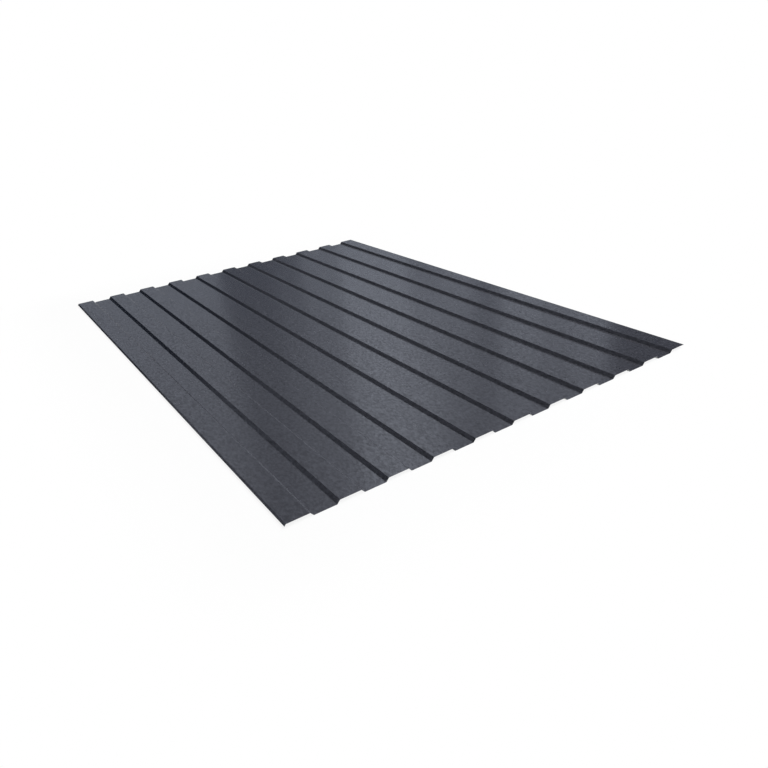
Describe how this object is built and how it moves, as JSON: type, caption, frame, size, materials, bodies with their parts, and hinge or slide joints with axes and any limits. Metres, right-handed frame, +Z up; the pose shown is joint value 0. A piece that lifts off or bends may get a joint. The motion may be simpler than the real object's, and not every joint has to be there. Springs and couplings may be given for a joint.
{
  "type": "profiled metal sheet",
  "caption": "Flat-lying profiled steel sheet with shallow trapezoidal ribs, a lipped lap edge and a plain edge, coated graphite grey, for cladding walls, roofs and fences.",
  "frame": {"origin": "under the middle of the sheet, level with the underside of its pans", "axes": "+X across the ribs from the lap edge to the plain edge, +Y along the ribs, +Z up"},
  "size_m": [1.2056, 1.7, 0.0085],
  "materials": {
    "coated_steel": "matte, finely textured coil coating"
  },
  "bodies": {
    "root": {"profiled_sheet": "coated_steel"}
  },
  "joints": []
}
